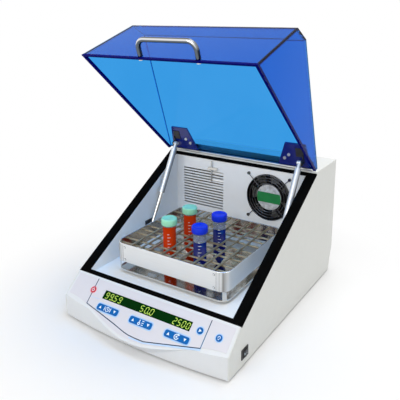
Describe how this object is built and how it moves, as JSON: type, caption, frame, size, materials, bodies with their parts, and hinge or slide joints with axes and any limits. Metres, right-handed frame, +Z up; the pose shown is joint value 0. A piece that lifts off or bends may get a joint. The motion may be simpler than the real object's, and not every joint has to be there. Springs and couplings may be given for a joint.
{
  "type": "incubator shaker",
  "caption": "Benchtop incubator shaker: heated chamber with an orbiting spring-rack tray for tubes, sloping control panel and a hinged clear blue hood on gas struts",
  "frame": {"origin": "centre of the bounding box in X and Y, on the surface that the rubber feet stand on", "axes": "+Z up; the control panel faces -Y; +X is the right-hand side, where the power rocker is"},
  "size_m": [0.404, 0.5436, 0.6003],
  "materials": {
    "steel_zinc": "zinc plated, satin",
    "rubber_black": "matte",
    "casing_paint": "fine powder coat, off-white",
    "screw_steel": "zinc plated",
    "fascia_plastic": "moulded, off-white",
    "overlay_print": "printed sheet, warm grey",
    "display_green": "dark green display window",
    "board_green": "circuit board",
    "seal_rubber": "matte black",
    "liner_paint": "smooth, pale blue-grey",
    "insulation_felt": "mineral felt",
    "fan_black": "moulded black",
    "chrome_wire": "plated wire",
    "heater_steel": "heat-tinted sheath",
    "steel_polished": "polished",
    "cast_alloy": "cast and machined",
    "motor_paint": "dark grey",
    "pulley_plastic": "moulded",
    "belt_rubber": "matte",
    "steel_brushed": "satin",
    "spring_steel": "close-wound wire",
    "tube_clear": "clear tube with coloured sample",
    "cap_plastic": "ribbed screw cap",
    "switch_black": "moulded black",
    "hinge_steel": "satin",
    "hood_acrylic": "clear blue acrylic sheet",
    "chrome_rod": "plated",
    "pad_navy": "navy reinforcing pad",
    "strut_grey": "smooth light grey",
    "key_blue": "blue key",
    "key_red": "red key"
  },
  "bodies": {
    "casing": {"base_plate": "steel_zinc", "rubber_feet": "rubber_black", "outer_casing": "casing_paint", "rear_panel": "casing_paint", "casing_screws": "screw_steel", "front_fascia": "fascia_plastic", "control_overlay": "overlay_print", "display_module": "display_green", "control_board": "board_green", "lid_gasket": "seal_rubber", "chamber_liner": "liner_paint", "chamber_back_wall": "liner_paint", "wall_insulation": "insulation_felt", "fan_frame": "fan_black", "fan_guard": "chrome_wire", "heater_element": "heater_steel", "temperature_probe": "steel_polished", "drive_frame": "steel_zinc", "bearing_housings": "cast_alloy", "shaft_bearings": "steel_polished", "drive_motor": "motor_paint", "drive_belt": "belt_rubber", "switch_housing": "switch_black", "power_inlet": "switch_black", "hinge_body_leaf": "hinge_steel", "hinge_pin": "steel_polished", "strut_wall_brackets": "steel_zinc"},
    "lid": {"lid_front_panel": "hood_acrylic", "lid_bevel_panel": "hood_acrylic", "lid_top_panel": "hood_acrylic", "lid_side_panels": "hood_acrylic", "lid_handle": "chrome_rod", "lid_screws": "screw_steel", "strut_pads": "pad_navy", "strut_ball_studs": "steel_zinc", "hinge_lid_leaf": "hinge_steel"},
    "left_rod": {"left_strut_rod": "chrome_rod"},
    "left_tube": {"left_strut_tube": "strut_grey"},
    "right_rod": {"right_strut_rod": "chrome_rod"},
    "right_tube": {"right_strut_tube": "strut_grey"},
    "crank": {"crank_shaft": "steel_brushed", "crank_pulley": "pulley_plastic"},
    "platform": {"platform_plate": "cast_alloy", "shaker_tray": "steel_polished", "tray_band": "steel_brushed", "rack_springs": "spring_steel", "sample_tubes": "tube_clear", "tube_caps": "cap_plastic"},
    "idler_left": {"idler_crank_left": "steel_brushed"},
    "idler_right": {"idler_crank_right": "steel_brushed"},
    "idler_rear": {"idler_crank_rear": "steel_brushed"},
    "motor_rotor": {"motor_pulley": "pulley_plastic"},
    "fan_rotor": {"fan_impeller": "fan_black"},
    "rocker": {"power_rocker": "switch_black"},
    "timer_key_body": {"timer_key": "key_blue"},
    "temperature_key_body": {"temperature_key": "key_blue"},
    "speed_key_body": {"speed_key": "key_blue"},
    "start_key_body": {"start_key": "key_blue"},
    "light_key_body": {"light_key": "key_blue"},
    "standby_key_body": {"standby_key": "key_red"}
  },
  "joints": [
    {"name": "lid_hinge", "type": "hinge", "parent": "casing", "child": "lid", "pos_m": [0, 0.14341, 0.287], "axis": [1, 0, 0], "range_deg": [0, 71.5]},
    {"name": "left_strut_pivot", "type": "hinge", "parent": "casing", "child": "left_rod", "pos_m": [-0.167, 0.01641, 0.124], "axis": [1, 0, 0], "range_deg": [-6, 1]},
    {"name": "left_strut_slide", "type": "slide", "parent": "left_rod", "child": "left_tube", "axis": [0, 0.5022, 0.8648], "range_m": [-0.032, 0.001]},
    {"name": "right_strut_pivot", "type": "hinge", "parent": "casing", "child": "right_rod", "pos_m": [0.167, 0.01641, 0.124], "axis": [1, 0, 0], "range_deg": [-6, 1]},
    {"name": "right_strut_slide", "type": "slide", "parent": "right_rod", "child": "right_tube", "axis": [0, 0.5022, 0.8648], "range_m": [-0.032, 0.001]},
    {"name": "crank_spin", "type": "hinge", "parent": "casing", "child": "crank", "pos_m": [0, -0.02415, 0.05], "axis": [0, 0, 1], "continuous": true},
    {"name": "platform_pivot", "type": "hinge", "parent": "crank", "child": "platform", "pos_m": [0, -0.01915, 0.08], "axis": [0, 0, 1], "continuous": true},
    {"name": "idler_left_spin", "type": "hinge", "parent": "casing", "child": "idler_left", "pos_m": [-0.09, -0.09015, 0.05], "axis": [0, 0, 1], "continuous": true},
    {"name": "idler_right_spin", "type": "hinge", "parent": "casing", "child": "idler_right", "pos_m": [0.09, -0.09015, 0.05], "axis": [0, 0, 1], "continuous": true},
    {"name": "idler_rear_spin", "type": "hinge", "parent": "casing", "child": "idler_rear", "pos_m": [0, 0.06985, 0.05], "axis": [0, 0, 1], "continuous": true},
    {"name": "motor_spin", "type": "hinge", "parent": "casing", "child": "motor_rotor", "pos_m": [-0.11, 0.06385, 0.022], "axis": [0, 0, 1], "continuous": true},
    {"name": "fan_spin", "type": "hinge", "parent": "casing", "child": "fan_rotor", "pos_m": [0.085, 0.15591, 0.203], "axis": [0, 1, 0], "continuous": true},
    {"name": "power_rocker_tilt", "type": "hinge", "parent": "casing", "child": "rocker", "pos_m": [0.191, -0.18321, 0.027], "axis": [0, 0, 1], "range_deg": [-8, 8]},
    {"name": "timer_key_tilt", "type": "hinge", "parent": "casing", "child": "timer_key_body", "pos_m": [-0.081, -0.23865, 0.04885], "axis": [0, 0.766, 0.6428], "range_deg": [-2, 2], "stiffness_Nm_per_rad": 0.4},
    {"name": "temperature_key_tilt", "type": "hinge", "parent": "casing", "child": "temperature_key_body", "pos_m": [0.004, -0.23865, 0.04885], "axis": [0, 0.766, 0.6428], "range_deg": [-2, 2], "stiffness_Nm_per_rad": 0.4},
    {"name": "speed_key_tilt", "type": "hinge", "parent": "casing", "child": "speed_key_body", "pos_m": [0.089, -0.23865, 0.04885], "axis": [0, 0.766, 0.6428], "range_deg": [-2, 2], "stiffness_Nm_per_rad": 0.4},
    {"name": "start_key_press", "type": "slide", "parent": "casing", "child": "start_key_body", "axis": [0, 0.6428, -0.766], "range_m": [0, 0.0008], "stiffness_N_per_m": 400},
    {"name": "light_key_press", "type": "slide", "parent": "casing", "child": "light_key_body", "axis": [0, 0.6428, -0.766], "range_m": [0, 0.0008], "stiffness_N_per_m": 400},
    {"name": "standby_key_press", "type": "slide", "parent": "casing", "child": "standby_key_body", "axis": [0, 0.6428, -0.766], "range_m": [0, 0.0008], "stiffness_N_per_m": 400}
  ],
  "couplings": [
    {"joint": "left_strut_pivot", "follows": "lid_hinge", "ratio": -0.06253},
    {"joint": "left_strut_slide", "follows": "lid_hinge", "m_per_rad": -0.023718},
    {"joint": "right_strut_pivot", "follows": "lid_hinge", "ratio": -0.06253},
    {"joint": "right_strut_slide", "follows": "lid_hinge", "m_per_rad": -0.023718},
    {"joint": "platform_pivot", "follows": "crank_spin", "ratio": -1},
    {"joint": "idler_left_spin", "follows": "crank_spin", "ratio": 1},
    {"joint": "idler_right_spin", "follows": "crank_spin", "ratio": 1},
    {"joint": "idler_rear_spin", "follows": "crank_spin", "ratio": 1},
    {"joint": "motor_spin", "follows": "crank_spin", "ratio": 3.4286}
  ]
}
